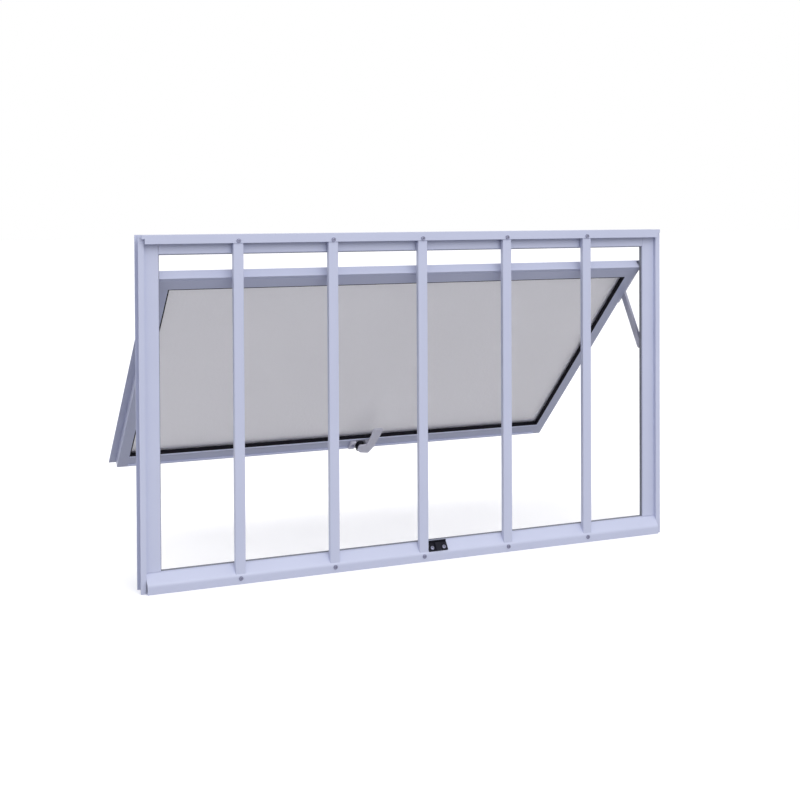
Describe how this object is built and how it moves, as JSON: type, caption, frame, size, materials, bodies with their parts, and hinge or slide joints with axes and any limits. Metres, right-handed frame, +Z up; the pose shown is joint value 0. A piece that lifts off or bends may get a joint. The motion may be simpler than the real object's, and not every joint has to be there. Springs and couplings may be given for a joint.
{
  "type": "top hung awning window with guard grille",
  "caption": "White aluminium top hung awning window: obscure glass sash swung out on slide shoes and stay arms, lever latch and keeper, upright guard bars on the room side.",
  "frame": {"origin": "middle of the sill's flat underside, where the window sits in its wall opening", "axes": "+X to the right seen from the room side, +Y outdoors, the way the sash opens, +Z up"},
  "size_m": [1.019, 0.4459, 0.595],
  "materials": {
    "white_aluminium": "white powder coat, satin",
    "obscure_glass": "rolled obscure glass, fine texture",
    "black_rubber": "matt extruded rubber",
    "stay_steel": "plain stainless strip",
    "black_nylon": "moulded black nylon",
    "grey_die_cast": "grey lacquered die casting",
    "dark_die_cast": "dark lacquered die casting"
  },
  "bodies": {
    "root": {"head": "white_aluminium", "sill": "white_aluminium", "sash_top_rail": "white_aluminium", "sash_bottom_rail": "white_aluminium", "jamb_left": "white_aluminium", "sash_stile_left": "white_aluminium", "frame_seal_left": "black_rubber", "glazing_seal_left": "black_rubber", "stay_plate_left": "stay_steel", "stay_arm_left": "stay_steel", "stay_rivet_left": "stay_steel", "stay_bracket_left": "stay_steel", "slide_shoe_left": "black_nylon", "jamb_right": "white_aluminium", "sash_stile_right": "white_aluminium", "frame_seal_right": "black_rubber", "glazing_seal_right": "black_rubber", "stay_plate_right": "stay_steel", "stay_arm_right": "stay_steel", "stay_rivet_right": "stay_steel", "stay_bracket_right": "stay_steel", "slide_shoe_right": "black_nylon", "frame_seal_head": "black_rubber", "frame_seal_sill": "black_rubber", "glazing_seal_top": "black_rubber", "glazing_seal_bottom": "black_rubber", "grille_bar_1": "white_aluminium", "grille_bar_2": "white_aluminium", "grille_bar_3": "white_aluminium", "grille_bar_4": "white_aluminium", "grille_bar_5": "white_aluminium", "glass_pane": "obscure_glass", "handle_base": "grey_die_cast", "handle_hub": "black_nylon", "handle_lever": "grey_die_cast", "keeper_plate": "dark_die_cast"}
  },
  "joints": []
}
